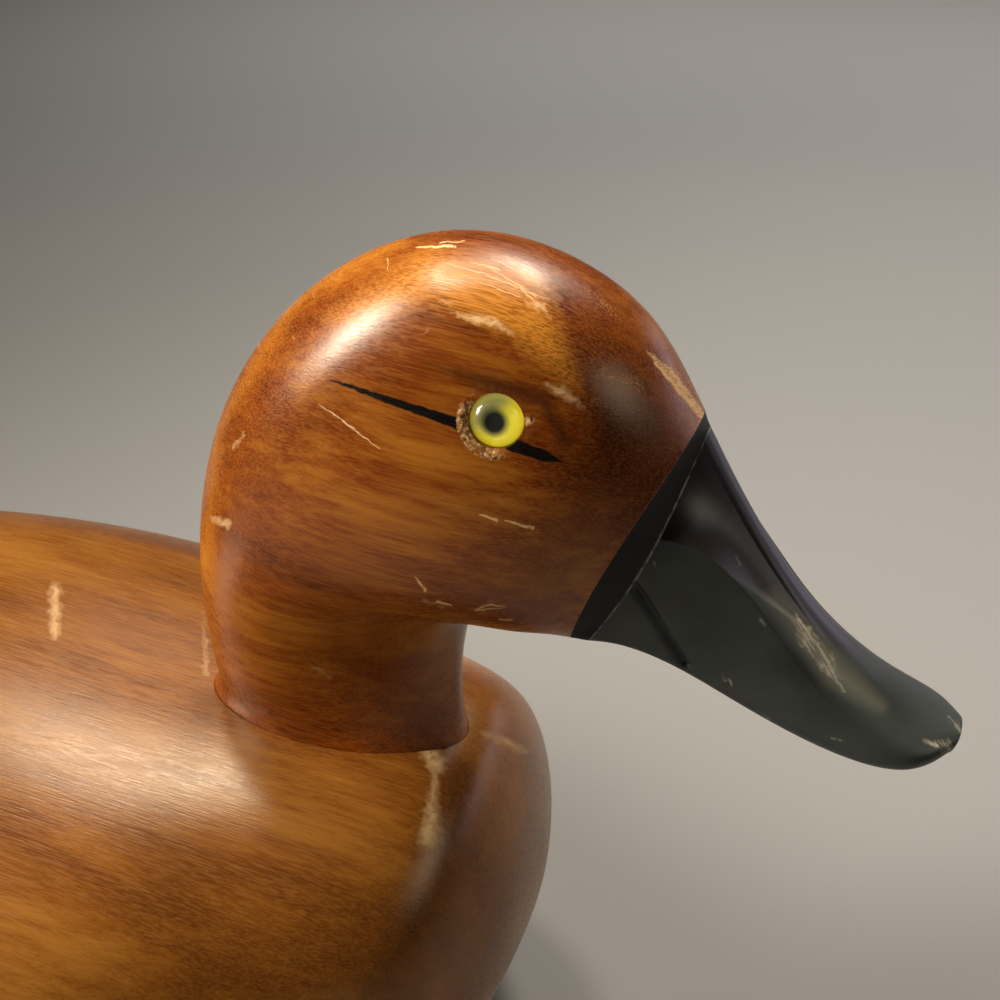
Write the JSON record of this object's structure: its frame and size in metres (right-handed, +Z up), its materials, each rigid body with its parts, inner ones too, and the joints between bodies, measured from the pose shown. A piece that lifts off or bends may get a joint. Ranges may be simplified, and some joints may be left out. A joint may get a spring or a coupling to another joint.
{
  "type": "duck decoy",
  "caption": "Carved wooden duck decoy with a varnished body and head, a dark painted bill and glass eyes, standing on its flat underside.",
  "frame": {"origin": "on the underside, below the middle of the decoy's overall length and width", "axes": "+X towards the bill, +Z up, +Y to the duck's left"},
  "size_m": [0.3721, 0.1644, 0.19],
  "materials": {
    "body_wood": "gloss",
    "head_wood": "gloss",
    "bill_paint": "satin",
    "eye_glass": "gloss",
    "eye_iris": "satin",
    "eye_putty": "matte"
  },
  "bodies": {
    "root": {"body": "body_wood", "head": "head_wood", "eye_right": "eye_glass", "eye_left": "eye_glass", "eye_putty_right": "eye_putty", "eye_putty_left": "eye_putty"}
  },
  "joints": []
}
